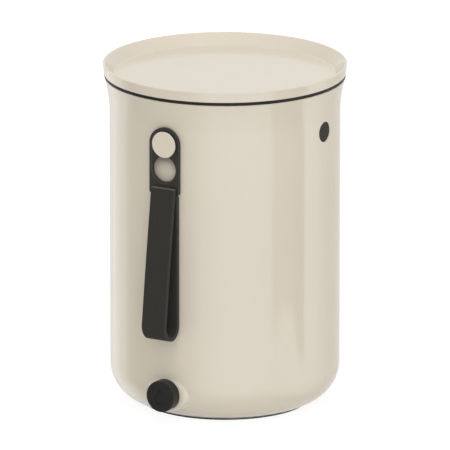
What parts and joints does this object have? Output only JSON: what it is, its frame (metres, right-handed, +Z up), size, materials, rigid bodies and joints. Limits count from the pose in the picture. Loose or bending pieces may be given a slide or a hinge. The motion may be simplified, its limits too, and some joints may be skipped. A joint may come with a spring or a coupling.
{
  "type": "bokashi bin",
  "caption": "Round kitchen composting bin with a sealed tray lid, a drain tap low at the front, an inner strainer and a carrying strap that hangs folded from a button.",
  "frame": {"origin": "on the bin's round axis, at the ground that the foot ring stands on", "axes": "+Z up along the bin's axis; -Y is the front, with the tap and the strap; +X is the right side"},
  "size_m": [0.2248, 0.2427, 0.32],
  "materials": {
    "cream_plastic": "warm cream, glossy",
    "black_rubber": "black, satin",
    "black_plastic": "black, satin",
    "dark_webbing": "dark charcoal, finely ribbed",
    "grey_plastic": "grey, matte",
    "stainless_steel": "stainless"
  },
  "bodies": {
    "bin": {"bin_body": "cream_plastic", "foot_ring": "black_rubber", "front_button": "cream_plastic", "front_button_washer": "black_rubber", "front_button_screw": "stainless_steel", "rear_button": "cream_plastic", "rear_button_washer": "black_rubber", "rear_button_screw": "stainless_steel", "side_plug_right": "black_rubber", "side_plug_left": "black_rubber", "tap_housing": "black_plastic", "tap_outer_gasket": "black_rubber", "tap_inner_gasket": "black_rubber", "tap_nut": "black_plastic", "tap_o_ring": "black_rubber"},
    "lid": {"lid": "cream_plastic", "lid_seal": "black_rubber"},
    "strainer": {"strainer": "grey_plastic"},
    "strap": {"strap_band": "dark_webbing", "strap_end_front": "black_rubber", "strap_end_rear": "black_rubber"},
    "tap_knob": {"tap_knob": "black_plastic"}
  },
  "joints": [
    {"name": "lid_lift", "type": "slide", "parent": "bin", "child": "lid", "axis": [0, 0, 1], "range_m": [0, 0.06]},
    {"name": "strainer_lift", "type": "slide", "parent": "bin", "child": "strainer", "axis": [0, 0, 1], "range_m": [0, 0.215]},
    {"name": "strap_swing", "type": "hinge", "parent": "bin", "child": "strap", "pos_m": [0, -0.1085, 0.2668], "axis": [0, -1, 0], "range_deg": [-100, 100]},
    {"name": "tap_turn", "type": "hinge", "parent": "bin", "child": "tap_knob", "pos_m": [0, -0.1068, 0.0278], "axis": [0, -1, 0], "range_deg": [0, 90]}
  ]
}
